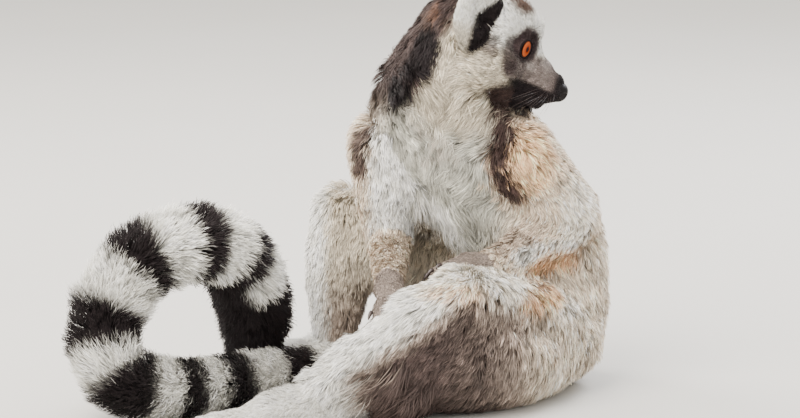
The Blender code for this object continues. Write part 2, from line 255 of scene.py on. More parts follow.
def eased(values, edges, rounds):
    """Values at the points of a mesh, each drawn again and again towards its neighbours'."""
    one, two = edges.T
    count = len(values)
    links = np.bincount(one, minlength=count) + np.bincount(two, minlength=count)
    values = np.array(values, float)
    flat = values.reshape(count, -1)
    for _ in range(rounds):
        for k in range(flat.shape[1]):
            column = flat[:, k]
            near = np.bincount(one, column[two], count) + np.bincount(two, column[one], count)
            flat[:, k] = 0.5 * column + 0.5 * near / np.maximum(links, 1)
    return flat.reshape(values.shape)


def tree_of(places):
    """Finds the nearest of many places."""
    tree = KDTree(len(places))
    for i, place in enumerate(places):
        tree.insert(place, i)
    tree.balance()
    return tree


def add_piece(name, mesh, place=Matrix()):
    """A visible piece of a mesh, on the one body that the whole animal is."""
    piece = bpy.data.objects.new(name, mesh)
    bpy.context.scene.collection.objects.link(piece)
    piece.matrix_world = place
    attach(piece, "root")
    return piece


solids, solids_names = solids_shape()
solids_tree = BVHTree.FromBMesh(solids)
solids.free()
hide_mesh = bpy.data.meshes.new("hide")
whole = closed_flesh(False, BODY_GRAIN, BODY_ROUNDS)
fine_hide = closed_flesh(True, FINE_GRAIN, FINE_ROUNDS)
fine_hide.to_mesh(hide_mesh)
fine_hide.free()
whole.from_mesh(hide_mesh)
whole.to_mesh(hide_mesh)
whole.free()
outer = in_mm(rows_of(hide_mesh.vertices, "co", 3).astype(float))
edges = rows_of(hide_mesh.edges, "vertices", 2, np.int32)
normals = unit(eased(rows_of(hide_mesh.vertices, "normal", 3), edges, NORMAL_ROUNDS))
node_here = nodes_near(in_metres(outer))
part_here = np.array([part_of(name) for name in node_here])
on_head = np.isin(part_here, ("head", "eye", "nose"))
on_ear, on_hand, on_tail = (part_here == part for part in ("ear", "hand", "tail"))

depth = np.array([COAT_DEPTH.get(part, 0) for part in part_here], float)
ahead = to_head(outer)[:, 0]
face_depth = 0.6 + 1.4 * ramp(ahead, 28, 4) + 4.5 * ramp(ahead, -4, -40)
depth = np.where(on_head, face_depth, depth)
tail_row = np.zeros(len(outer), int)
tail_row[on_tail] = tail_rows(outer[on_tail])
depth = np.where(on_tail, TAIL_COAT_SHARE * TAIL[tail_row, 3], depth)
# The coat is short where a hand rests in it.
hand_tree = tree_of(outer[on_hand])
from_hand = np.array([hand_tree.find(place)[2] for place in outer])
depth = np.where(on_hand, depth, depth * (0.3 + 0.7 * ramp(from_hand, 1, 15)))
depth = eased(depth, edges, DEPTH_ROUNDS)
inner = outer - normals * depth[:, None]

# The bones of the face and the folds of its skin: (forward, out, up), reach, push the same way.
FACE_FOLDS = (
    ((9, 0, 17), 12, (3.2, 0, 1.6)),  # the forehead
    ((22, 0, -8), 7, (0.8, 0, 1.2)),  # the bridge of the muzzle
    ((31, 0, -17), 7, (1.6, 0, 2.4)),  # the bridge just behind the nose
    ((12, 0, -46), 13, (0, 0, 3.0)),  # the jaw
    ((36, 0, -26), 8, (1.4, 0, 0.4)),  # the end of the muzzle
    ((32, 8, -27), 6, (0.4, 1.6, 0)),  # the sides of its end
    ((0, 16, 13), 8, (0.6, 1.4, 0.8)),  # the brow over each eye
    ((7, 14, -9), 7, (-1.2, -1.4, -0.4)),  # the hollow below the eye
    ((-7, 23, -8), 9, (0, 1.3, 0)),  # the cheekbone
    ((27, 8, -29), 6, (0.3, 1.0, -0.2)),  # the pad of the whiskers
    ((22, 5, -18), 6, (0, -0.9, 0.2)),  # the side of the bridge
    ((34, 0, -34), 4, (-1.0, 0, 0.6)),  # under the nose
)
LIP_LINE = smooth_line(((36, 1, -33), (30, 7, -34.5), (20, 10, -35), (8, 12, -35.5), (-2, 14, -35)), 8)
LIP_DEPTH, LIP_WIDTH = 1.1, 1.6

# Each eyeball turns out from straight ahead, and the lids open over it in an almond.
EYE_OUT = math.radians(37)
EYE_PLACE = np.array((-2.4, 15.0, 0.6))
EYE_RADIUS = 7.9
LID_THICK = 0.8
LID_WIDE, LID_HIGH = math.radians(56), math.radians(55)
BEHIND_IRIS = 3.7  # how far the hide is sunk below the eyeball, to stay behind its flat iris


def eye_axes(side):
    """The eye's centre in the head and its axes: the way it looks, across and up."""
    look = np.array((math.cos(EYE_OUT), side * math.sin(EYE_OUT), 0))
    across = np.array((-side * math.sin(EYE_OUT), math.cos(EYE_OUT), 0)) * side
    return EYE_PLACE * (1, side, 1), np.array((look, across, np.cross(look, across) * side))


def modelled_face(places):
    """The head's own places with its folds, lips and eyelids pressed in."""
    places = places.copy()
    mirror = np.where(places[:, 1:2] < 0, (1.0, -1.0, 1.0), (1.0, 1.0, 1.0))
    for centre, reach, push in FACE_FOLDS:
        near = np.exp(-(((places * mirror - centre) ** 2).sum(1)) / (reach * 0.7) ** 2)[:, None]
        places += near * np.array(push) * (mirror if centre[1] else (1.0, 0.0, 1.0))
    half = places * mirror
    gap = np.linalg.norm(half - LIP_LINE[nearest_on(LIP_LINE, half)], axis=1)
    crease = np.exp(-((gap / LIP_WIDTH) ** 2)) * LIP_DEPTH
    places[:, 1] -= mirror[:, 1] * crease * 0.8
    places[:, 0] -= crease * 0.5
    for side in (-1, 1):
        centre, axes = eye_axes(side)
        local = (places - centre) @ axes.T
        far = np.linalg.norm(local, axis=1)
        look, across, up = (local / far[:, None]).T
        angle = np.arccos(np.clip(look, -1, 1))
        turn = np.arctan2(up, across)
        opening = 1 / np.sqrt((np.cos(turn) / LID_WIDE) ** 2 + (np.sin(turn) / LID_HIGH) ** 2)
        open_here = ramp(angle, opening * 1.02, opening * 0.88)
        lid = EYE_RADIUS + LID_THICK
        reach = ramp(far, lid + 5, lid + 1) * (look > -0.2)
        hugged = np.where(far < lid, lid, far + (lid - far) * reach * 0.85 * (angle < opening * 1.7))
        goal = hugged * (1 - open_here) + (EYE_RADIUS - BEHIND_IRIS) * open_here
        near_eye = (far < lid + 6) & (look > -0.2)
        wanted = np.where(near_eye, goal, far)
        places = centre + (local * (wanted / far)[:, None]) @ axes
    return places


around_face = on_head & (ahead > -30)
inner[around_face] = from_head(modelled_face(to_head(inner[around_face])))
settled = eased(inner, edges, 2)
inner = np.where((around_face | on_ear)[:, None], inner, settled)
inner[:, 2] = np.maximum(inner[:, 2], HIDE_CLEARANCE)
hide_mesh.vertices.foreach_set("co", in_metres(inner).astype(np.float32).ravel())
hide_mesh.update()
hide_mesh.shade_smooth()
skin_normals = unit(eased(rows_of(hide_mesh.vertices, "normal", 3), edges, 2))

hide = add_piece("hide", hide_mesh)
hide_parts(*[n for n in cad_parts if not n.startswith("eye") and n != "nose"])

# The hide is unwrapped once, and each tuft of the coat is mapped where it is rooted.
bpy.context.view_layer.objects.active = hide
hide.select_set(True)
bpy.ops.object.mode_set(mode="EDIT")
bpy.ops.mesh.select_all(action="SELECT")
bpy.ops.uv.smart_project(angle_limit=math.radians(66), island_margin=0.002)
bpy.ops.object.mode_set(mode="OBJECT")
hide.select_set(False)
hide_mesh.uv_layers.active.name = "OFBake"

# ---------------------------------------------------------------- the markings
# Ring-tailed lemur: pale grizzled grey back and limbs, dark frosted nape and crown, white face,
# throat, belly and feet, black round the eyes and on the muzzle, and a tail ringed in black and
# white. Skin and coat take their colours from the same functions of the place on the body.


def linear(colour):
    """A colour written #RRGGBB, as the linear numbers that the shaders take."""
    parts = np.array([int(colour[i : i + 2], 16) for i in (1, 3, 5)]) / 255
    return np.where(parts <= 0.04045, parts / 12.92, ((parts + 0.055) / 1.055) ** 2.4)


# Colours of the hair, and of the bare skin of the face and hands, with one brown that is painted shade low on
# the hind legs.
BLACK_HAIR = linear("#1D1719")
EYE_PATCH = linear("#433738")
SOOT = linear("#4A3F3E")
DARK_BROWN = linear("#4F4039")
STRIPE_BROWN = linear("#40322F")
CROWN_BROWN = linear("#645045")
FROSTED_DARK = linear("#483C3A")
GREY_BROWN = linear("#9A8B80")
LOW_LEG_SHADE_BROWN = linear("#4D413E")
BACK_GREY = linear("#DACBB8")
ARM_GREY = linear("#D6C4B0")
BUFF = linear("#E3BE98")
RUFOUS = linear("#DDA97A")
CREAM = linear("#CCC2B0")
THROAT_CREAM = linear("#B2A998")
WHITE_HAIR = linear("#F8F7F0")
TAIL_WHITE = linear("#EDECE5")
WARM_WHITE = linear("#FBF2E2")
CHEST_WHITE = linear("#B9B8AE")
RED_BROWN = linear("#8F6750")
MUZZLE_GREY = linear("#857A76")
BRIDGE_GREY = linear("#B3AAA5")

# Knees and ankles, between which the shins' markings are laid out.
KNEE = {"left": (44, -98, 92), "right": (-42, 67, 128)}
ANKLE = {"left": (-63, -107, 19), "right": (-52, 60, 20)}

# Rings of the tail: how far from the tip each white ring starts and ends.
WHITE_RINGS = (
    (124, 147), (168, 192), (217, 246), (279, 296), (325, 345),
    (366, 386), (413, 444), (472, 492), (525, 546), (578, 600),
)
OUTER_RING = (86, 107)  # the last ring before the tip, which only shows on the outside of the curl
RING_EDGE = 3.0
GREY_ROOT = (610, 640)  # where the rings give way to the grey of the back


def along_limb(points, start, end):
    """How far along a limb's bone each point lies, and how far above it."""
    bone = np.subtract(end, start)
    t = np.clip((points - start) @ bone / (bone @ bone), 0, 1)
    return t, points[:, 2] - (start[2] + t * bone[2])


def spot(points, centre, radii):
    """1 in the middle of an ellipsoid, fading to 0 a little past its edge."""
    return ramp(np.linalg.norm((points - centre) / radii, axis=1), 1.25, 0.7)


def spot_edge(points, centre, radii, soft=0.12):
    """1 inside an ellipsoid and 0 outside it, with a narrow edge."""
    return ramp(np.linalg.norm((points - centre) / radii, axis=1), 1 + soft, 1 - soft)


def streak(points, line, radius):
    """1 along a line of points, fading to 0 past its radius."""
    line = smooth_line(line, 6)
    near = line[nearest_on(line, points)]
    return ramp(np.linalg.norm(points - near, axis=1), radius * 1.3, radius * 0.6)


def painted(colours, *layers):
    """Colours with layers laid over them in turn, each a share and a colour."""
    for share, colour in layers:
        colours = colours + share[:, None] * (colour - colours)
    return colours


# The dark hair of the nape ends along a line down each side of the neck: height, forwards.
NAPE_EDGE = np.array(
    (
        (205, -20), (221, -6), (229, 6), (240, 18), (246, 22),
        (268, 27), (280, 33), (290, 40), (300, 47), (322, 52),
    )
)


def nape_share(points):
    """1 on the dark hair of the nape, which fades out softly over the right of the neck."""
    x, y, z = points.T
    edge = np.interp(z, *NAPE_EDGE.T)
    right = ramp(y, -28, -8)
    return ramp(x, edge + 3 + 9 * right, edge - 4 - 5 * right) * ramp(z, 205 - 30 * right, 226 + 14 * right)


def head_markings(places):
    """Colours of the head by place, both sides alike."""
    fore, left, up = places.T
    half = np.stack((fore, np.abs(left), up), 1)

    def patch(centre, radii, soft=0.12):
        return spot_edge(half, centre, radii, soft)

    temple = streak(half, ((-8, 27, 3), (-8, 29, -6), (-6, 30, -13)), 7)
    lower_face = ramp(up, -20 - 0.12 * fore, -24 - 0.12 * fore) * ramp(fore, -11, 2) * ramp(up, -54, -50)
    return painted(
        np.tile(CREAM, (len(fore), 1)),
        (ramp(fore, -32, -22) * ramp(up, -8, 3), WHITE_HAIR),  # the brow
        (patch((-38, 0, 33), (18, 16, 14), 0.3), FROSTED_DARK),  # the crown
        (patch((-10, 0, 29), (10, 20, 9), 0.35), CROWN_BROWN),
        (patch((-22, 0, 33), (16, 11, 10), 0.35), CROWN_BROWN),
        (0.8 * patch((-23, 32, -2), (7, 9, 9), 0.4), SOOT),  # below the ear
        (patch((-32.5, 29, 12), (6.5, 9, 20)), BLACK_HAIR),  # the cup of the ear
        (ramp(fore, -4, 3) * ramp(up, -1, -6), MUZZLE_GREY),
        (0.7 * ramp(np.abs(left), 10, 6) * ramp(fore, 24, 19) * ramp(up, -4, -8), BRIDGE_GREY),
        (0.7 * ramp(fore, 21, 30) * ramp(up, -2, -8), SOOT),  # behind the nose
        (0.6 * patch((8, 15, -11), (6, 6, 4), 0.4), BRIDGE_GREY),  # under the eye
        (0.9 * patch((-3, 27, -15), (8, 10, 8), 0.3), MUZZLE_GREY),  # the cheek
        (patch((0.5, 17.5, 3), (14, 14, 13.5)), EYE_PATCH),
        (0.9 * temple, EYE_PATCH),
        (lower_face, BLACK_HAIR),
        (ramp(fore, 27, 31), BLACK_HAIR),  # the end of the muzzle
    )


def ear_markings(places, facing):
    """White outside and along the rim, black in the cup."""
    fore, left, up = places.T
    inside = ramp(0.55 * facing[:, 0] + 0.85 * facing[:, 1] * np.sign(left), -0.3, 0.0)
    below_rim = ramp(up - 29 - 1.17 * (fore + 30), 3, -3)
    return painted(
        np.tile(WHITE_HAIR, (len(fore), 1)),
        # Cream towards the base of the ear: partly greyer hair and partly painted shade.
        (0.7 * ramp(up, 16, 0), CREAM),
        (inside * ramp(fore, -43, -38) * below_rim, BLACK_HAIR),
    )


def ring_markings(points):
    """Colours of the tail by the distance from its tip."""
    row = tail_rows(points)
    tip = TAIL_FROM_TIP[row]
    white = np.zeros(len(points))
    for start, end in WHITE_RINGS:
        ring = ramp(tip, start - RING_EDGE, start + RING_EDGE) * ramp(tip, end + RING_EDGE, end - RING_EDGE)
        white = np.maximum(white, ring)
    start, end = OUTER_RING
    outside = ramp(points[:, 0] - TAIL[row, 0], 2, 14)
    ring = spot_edge(tip[:, None], (start + end) / 2, (end - start) / 2, 0.3)
    white = np.maximum(white, outside * ring)
    black = np.tile(BLACK_HAIR, (len(tip), 1))
    return painted(black, (white, TAIL_WHITE), (ramp(tip, *GREY_ROOT), BACK_GREY))


def trunk_markings(points, facing):
    """The grey back, and the white throat, chest and belly."""
    front = ramp(facing[:, 1], 0.3, -0.2)
    return painted(
        np.tile(BACK_GREY, (len(points), 1)),
        (0.7 * ramp(facing[:, 1], 0.05, 0.75), GREY_BROWN),  # down the back
        (front * spot(points, (22, -45, 150), (58, 75, 100)), CHEST_WHITE),
        (spot(points, (28, -10, 132), (22, 26, 24)), WHITE_HAIR),  # the lap
        (spot(points, (44, -45, 235), (44, 50, 34)), THROAT_CREAM),
    )


# Brown stripes down each side of the chest, and painted shade along the folds of the white collar.
LEFT_STRIPE = ((71, -47, 238), (78, -48, 220), (76, -58, 205), (72, -62, 190), (74, -60, 174), (82, -52, 158))
RIGHT_STRIPE = ((-27, -26, 218), (-30, -19, 194), (-31, -15, 172))
COLLAR_CREASE_SHADE = (
    ((13, -41, 207), (22, -48, 202), (32, -52, 199)),
    ((16, -39, 180), (29, -49, 190), (39, -54, 191)),
)

# Soft marks on the flank, thigh and nape, the thin dark brown flecks on the thigh being painted shade where
# the coat parts: centre, radii, strength, colour.
BODY_SPOTS = (
    ((110, -32, 105), (28, 28, 12), 0.75, RUFOUS),
    ((104, -66, 85), (28, 30, 12), 0.8, RUFOUS),
    ((106, -62, 93), (16, 20, 2.5), 0.8, DARK_BROWN),
    ((40, -120, 99), (26, 16, 7), 0.5, RUFOUS),
    # Thin dark brown flecks on the thigh: painted shade where the coat parts.
    ((95, -86, 46), (2.5, 8, 4), 0.7, DARK_BROWN),
    ((104, -75, 66), (5, 14, 9), 0.5, DARK_BROWN),
    ((116, -66, 50), (5, 14, 9), 0.5, DARK_BROWN),
    ((19, -43, 265), (12, 16, 16), 1.0, BLACK_HAIR),
    ((11, -40, 250), (14, 16, 12), 1.0, BLACK_HAIR),
    ((-4, -31, 232), (14, 18, 14), 1.0, BLACK_HAIR),
    ((19, -32, 285), (8, 14, 7), 0.7, DARK_BROWN),
    ((33, -48, 282), (4, 12, 8), 0.8, DARK_BROWN),
    ((24, -39, 293), (5, 10, 9), 0.35, RED_BROWN),
)


def body_markings(points, facing, parts):
    """The colour of the coat at places on the body, in millimetres."""
    x, y, z = points.T

    def on(*names):
        return np.isin(parts, names)

    found = np.tile(BACK_GREY, (len(points), 1))
    rows = on("neck", "chest", "belly", "rump")
    found[rows] = trunk_markings(points[rows], facing[rows])
    rows = on("head", "eye", "nose")
    found[rows] = head_markings(to_head(points[rows]))
    rows = on("head", "neck", "chest")
    found[rows] = painted(found[rows], (nape_share(points[rows]), FROSTED_DARK))
    rows = on("ear")
    found[rows] = ear_markings(to_head(points[rows]), facing[rows] @ HEAD.T)
    rows = on("tail")
    found[rows] = ring_markings(points[rows])

    arms = on("upper_arm", "forearm", "hand")
    left_arm = arms & (x > 30)
    right_arm = on("upper_arm") & (x < 30)
    found[arms] = ARM_GREY
    found = painted(
        found,
        (left_arm * spot(points, (90, -62, 184), (26, 40, 30)), BUFF),
        (0.85 * left_arm * spot(points, (134, -34, 144), (18, 26, 27)), WARM_WHITE),
        (0.6 * left_arm * spot(points, (84, -56, 126), (24, 24, 12)), GREY_BROWN),
        (left_arm * spot(points, (110, -46, 114), (38, 26, 8)), WHITE_HAIR),
        (right_arm * 0.45 * ramp(facing[:, 1], 0.05, 0.7), GREY_BROWN),
        (right_arm * ramp(x, -28, -18) * ramp(facing[:, 1], 0.2, -0.2), WHITE_HAIR),
        (on("hand") * 0.8, MUZZLE_GREY),
    )

    left_shin = on("shin") & (y < 0)
    left_thigh = on("thigh") & (y < 30) & (x > 20)
    left_leg = left_shin | left_thigh
    right_leg = (on("shin") & (y > 0)) | (on("thigh") & (x < 60) & (y > 20))
    t, above = along_limb(points, KNEE["left"], ANKLE["left"])
    towards_thigh = 1 - 0.2 * ramp(x, 24, 54)
    found = painted(
        found,
        (left_shin, WHITE_HAIR),
        (left_shin * ramp(above, 9, -1) * ramp(t, 0.9, 0.72), GREY_BROWN),
        # Painted shade: dark brown under the left shin.
        (left_shin * ramp(above, 3, -9) * ramp(t, 0.9, 0.65) * towards_thigh, LOW_LEG_SHADE_BROWN),
        (left_thigh * ramp(x, 112, 82), GREY_BROWN),
        # Painted shade: dark brown low on the left thigh.
        (left_thigh * 0.82 * ramp(z, 90, 60) * ramp(x, 95, 56), LOW_LEG_SHADE_BROWN),
        (left_leg * ramp(z + 0.4 * np.maximum(x - 43, 0), 94, 108), WARM_WHITE),
        (left_leg * spot(points, (36, -104, 114), (44, 40, 18)), WARM_WHITE),
        (right_leg, CREAM),
        (right_leg * ramp(z, 98, 40) * 0.95, GREY_BROWN),
        (on("thigh", "shin") * 0.6 * ramp(facing[:, 1], 0.1, 0.7), GREY_BROWN),
        (right_leg * ramp(x, -52, -64), WHITE_HAIR),
        (on("foot"), WHITE_HAIR),
    )

    body = on("neck", "chest", "belly", "rump", "upper_arm", "forearm", "thigh", "shin", "head")
    for centre, radii, share, colour in BODY_SPOTS:
        found = painted(found, (body * share * spot(points, centre, radii), colour))
    behind_face = body & ((to_head(points)[:, 0] < 2) | ~on("head"))
    found = painted(
        found,
        (behind_face * streak(points, LEFT_STRIPE, 10.5), STRIPE_BROWN),
        (body * 0.95 * streak(points, RIGHT_STRIPE, 10), STRIPE_BROWN),
    )
    # Painted shade along the creases of the white collar.
    for fold in COLLAR_CREASE_SHADE:
        found = painted(found, (0.45 * on("neck", "chest") * streak(points, fold, 4.5), GREY_BROWN))
    return found


coat_colours = body_markings(outer, normals, part_here)


def plug(made, **links):
    """Links or sets inputs of a shader node, each by its name or by i and its number."""
    for name, value in links.items():
        numbered = name[0] == "i" and name[1:].isdigit()
        socket = made.inputs[int(name[1:]) if numbered else name.replace("_", " ")]
        if isinstance(value, bpy.types.NodeSocket):
            made.id_data.links.new(value, socket)
        else:
            socket.default_value = value


def node(material, kind, settings=(), **links):
    """Adds a shader node with its settings and its input links or values."""
    made = material.node_tree.nodes.new(kind)
    for name, value in dict(settings).items():
        setattr(made, name, value)
    plug(made, **links)
    return made


def new_material(name):
    """A material and its shader."""
    material = bpy.data.materials.new(name)
    material.use_nodes = True
    return material, material.node_tree.nodes["Principled BSDF"]


def keep_colours(mesh, colours):
    """Stores linear colours on a mesh's points, which the materials read as coat_colour."""
    layer = mesh.attributes.new("coat_colour", "FLOAT_COLOR", "POINT")
    rows = np.ones((len(colours), 4), np.float32)
    rows[:, :3] = colours
    layer.data.foreach_set("color", rows.ravel())


def grained_colour(material, size, detail, roughness, spread, shades):
    """The colour kept on the mesh, in darker and paler grains of a size in millimetres."""
    kept = node(material, "ShaderNodeAttribute", {"attribute_name": "coat_colour"})
    place = node(material, "ShaderNodeTexCoord")
    grain = node(material, "ShaderNodeTexNoise", Vector=place.outputs["Object"], Scale=1 / (size * MM),
                 Detail=detail, Roughness=roughness)
    shade = node(material, "ShaderNodeMapRange", i0=grain.outputs["Fac"], i1=spread[0], i2=spread[1],
                 i3=shades[0], i4=shades[1])
    shaded = node(material, "ShaderNodeVectorMath", {"operation": "SCALE"}, i0=kept.outputs["Color"],
                  Scale=shade.outputs[0])
    return shaded.outputs[0], grain.outputs["Fac"]


# Down and skin: matt, short and dense, with a fine nap in its shade and its bump.
NAP_MM, NAP_RISE_MM = 0.9, 0.4
DOWN_SHADE = 0.88  # the down in the shade of the coat, against the coat's own colour
hide_nap, shader = new_material("downy_hide")
down_colour, nap = grained_colour(hide_nap, NAP_MM, 3.0, 0.6, (0.3, 0.75), (0.6, 1.0))
bump = node(hide_nap, "ShaderNodeBump", Strength=0.6, Distance=NAP_RISE_MM * MM, Height=nap)
plug(shader, Base_Color=down_colour, Normal=bump.outputs[0], Roughness=0.85, Specular_IOR_Level=0.2)
keep_colours(hide_mesh, coat_colours * DOWN_SHADE)
hide_mesh.materials.append(hide_nap)

# ---------------------------------------------------------------- the lie of the coat
# Hair runs back from the nose over the crown and cheeks, down the back, down each limb to the
# toes, and along the tail to its tip. On the chest it runs in from both sides to the midline.

TOES = {"left": (-142, -120, 4), "right": (-128, 76, 4)}
SHOULDER = {"left": (84, -42, 190), "right": (-10, 2, 190)}
ELBOW = {"left": (131, -14, 134), "right": (-8, 14, 114)}
WRIST = {"left": (66, -60, 107), "right": (-8, -68, 98)}
FINGERS = {"left": (26, -72, 104), "right": (-6, -107, 84)}
LIMB_RUNS = {
    "shin": (KNEE, ANKLE),
    "foot": (ANKLE, TOES),
    "upper_arm": (SHOULDER, ELBOW),
    "forearm": (ELBOW, WRIST),
    "hand": (WRIST, FINGERS),
}
NOSE_TIP = from_head((40, 0, -26))
CHEST_MIDLINE = 28.0
BACK_RUN = np.array((0.25, 0.1, -1.0))
SWIRL_WAVES = np.array(((0.5, 0.3, 0.9), (-0.8, 0.6, 0.4), (0.4, -0.9, 0.6)))
SWIRL_MM = 5.5
SWIRL = {"neck": 0.35, "chest": 0.4, "belly": 0.3, "rump": 0.2, "thigh": 0.2, "shin": 0.15, "upper_arm": 0.2}



def lie_of_hair():
    """The way the hair lies at each point of the hide."""
    lie = np.tile(BACK_RUN, (len(outer), 1))
    lie[part_here == "thigh"] = (-0.25, -0.3, -1)
    for name, (start, end) in LIMB_RUNS.items():
        for side in ("left", "right"):
            rows = node_here == f"{name}_{side}"
            lie[rows] = unit(np.subtract(end[side], start[side])) - (0, 0, 0.35)
    tangents = unit(np.gradient(TAIL[:, :3], axis=0))
    lie[on_tail] = tangents[tail_row[on_tail]]
    back_from_nose = unit(outer - NOSE_TIP)
    rows = on_head
    nape = ramp(ahead[rows], -32, -58)
    lie[rows] = back_from_nose[rows] * (1 - 0.8 * nape[:, None]) - np.outer(0.25 + nape, (0, 0, 1))
    lie[on_ear] = unit(np.array((-14, 0, 44)) @ HEAD + 0 * outer[on_ear])
    rows = np.isin(part_here, ("neck", "chest", "belly"))
    front = rows & (normals[:, 1] < 0.1)
    inward = np.clip((CHEST_MIDLINE - outer[front, 0]) / 26, -1, 1)
    high = ramp(outer[front, 2], 120, 190)
    lie[front] = np.stack((0.9 * inward * high, -0.15 + 0 * inward, -1.0 + 0.35 * high), 1)
    # The coat of a live animal never lies quite straight: it swirls a little from place to place.
    swirl = np.sin(outer @ SWIRL_WAVES.T / SWIRL_MM + (0, 2, 4))
    strength = np.array([SWIRL.get(part, 0.05) for part in part_here])
    lie = eased(unit(lie), edges, 12) + swirl * strength[:, None]
    lie -= (lie * skin_normals).sum(1)[:, None] * skin_normals
    return unit(lie)


lie = lie_of_hair()

# ---------------------------------------------------------------- the coat
# Each tuft is a few hairs that cling together: a thin pointed leaf, rooted in the hide, that
# rises and then bends over along the lie of the coat. Neighbours lean in to shared points, as
# real fur does, which draws the coat into locks.

hide_mesh.calc_loop_triangles()
triangles = rows_of(hide_mesh.loop_triangles, "vertices", 3, np.int32)
triangle_loops = rows_of(hide_mesh.loop_triangles, "loops", 3, np.int32)
hide_map = rows_of(hide_mesh.uv_layers["OFBake"].data, "uv", 2)
sides = inner[triangles]
areas = np.linalg.norm(np.cross(sides[:, 1] - sides[:, 0], sides[:, 2] - sides[:, 0]), axis=1) / 2
triangle_node = node_here[triangles[:, 0]]
triangle_part = part_here[triangles[:, 0]]
THIN_OUT = 1
FLOOR_CLEARANCE = 0.4
ROOT_SUNK = 0.4  # how far a tuft starts below the hide
SHOWN = 0.65  # how far along a tuft the middle of what shows of it lies
BOW = 0.28  # how far a tuft bows up before it bends over, of its rise
ROLL = 0.45  # how far tufts turn about their length, in radians
PROUD_SHARE, PROUD_RISE = 0.08, 0.2  # guard hairs that stand over the rest
LOCK_WANDER = 1.6  # how much more than a tuft a lock strays from the lie
PARTING_SHADE_SHARE, PARTING_SHADE = 0.05, 1.6  # locks darkened here and there in a grizzled coat, as painted shade where the coat parts
TRESS_MM = 3.2
TRESS_WAVES = np.array(((0.9, 0.2, 0.5), (-0.4, 0.8, 0.35), (0.3, -0.5, 0.75)))
DARK_HAIR, PALEST_HAIR = 0.06, 0.94  # of full white: what counts as dark, and what no hair passes

# A tuft's middle rows as how far along and how wide, its facets, and its patch of the hide's map.
LONG_TUFT = (
    ((0.32, 0.9), (0.68, 0.75)),
    np.array(((0, 2, 1), (1, 2, 4), (1, 4, 3), (3, 4, 5))),
    np.array(((0, -1), (-1, -0.3), (1, -0.3), (-0.8, 0.3), (0.8, 0.3), (0, 1))),
)
SHORT_TUFT = (
    ((0.45, 1.0),),
    np.array(((0, 2, 1), (1, 2, 3))),
    np.array(((0, -1), (-1, 0), (1, 0), (0, 1))),
)
PATCH = 0.003  # width of a tuft's patch on the hide's map

# Coat and guard hair: keratin, satin along its length, with the colour in its own pigment.
MOTTLE_MM = 7.0
coat, shader = new_material("coat_hair")
hair_colour = grained_colour(coat, MOTTLE_MM, 2.0, 0.5, (0.3, 0.7), (0.88, 1.08))[0]
plug(shader, Base_Color=hair_colour, Roughness=0.62, Specular_IOR_Level=0.16)
plug(shader, Sheen_Weight=0.03, Sheen_Roughness=0.5)

draw = np.random.default_rng(20)


def rooted(rows, spacing):
    """Even random roots on the chosen triangles: (triangle, weights of its corners)."""
    room = np.cumsum(areas[rows])
    count = int(room[-1] / spacing**2)
    where = (np.arange(count) + draw.random(count)) / count * room[-1]
    chosen = np.flatnonzero(rows)[np.minimum(np.searchsorted(room, where), len(room) - 1)]
    one, two = np.sqrt(draw.random(count)), draw.random(count)
    return chosen, np.stack((1 - one, one * (1 - two), one * two), 1)


def read(values, chosen, weights):
    """Values at the roots, from the corners of their triangles."""
    corners = values[triangles[chosen]]
    weights = np.broadcast_to(weights, (len(chosen), 3))
    if corners.ndim == 2:
        return (corners * weights).sum(1)
    return np.einsum("ijk,ij->ik", corners, weights)


def tress_at(places):
    """Between -1 and 1: where the coat stands in tresses, and where it parts between them."""
    return np.sin(places @ TRESS_WAVES.T / TRESS_MM).sum(1) / 3


def hair_mesh(name, points, colours, faces, places):
    """A mesh of many tufts from each tuft's points, their colours and their places on the map."""
    count, each = points.shape[:2]
    corners = (np.arange(count)[:, None, None] * each + faces).reshape(-1)
    mesh = bpy.data.meshes.new(name)
    mesh.vertices.add(count * each)
    mesh.vertices.foreach_set("co", in_metres(points.reshape(-1, 3)).astype(np.float32).ravel())
    mesh.loops.add(len(corners))
    mesh.loops.foreach_set("vertex_index", corners.astype(np.int32))
    mesh.polygons.add(len(corners) // 3)
    mesh.polygons.foreach_set("loop_start", np.arange(0, len(corners), 3, dtype=np.int32))
    mesh.update(calc_edges=True)
    keep_colours(mesh, colours.reshape(-1, 3))
    layer = mesh.uv_layers.new(name="OFBake")
    layer.data.foreach_set("uv", np.clip(places.reshape(-1, 2)[corners], 0, 1).astype(np.float32).ravel())
    mesh.materials.append(coat)
    return mesh


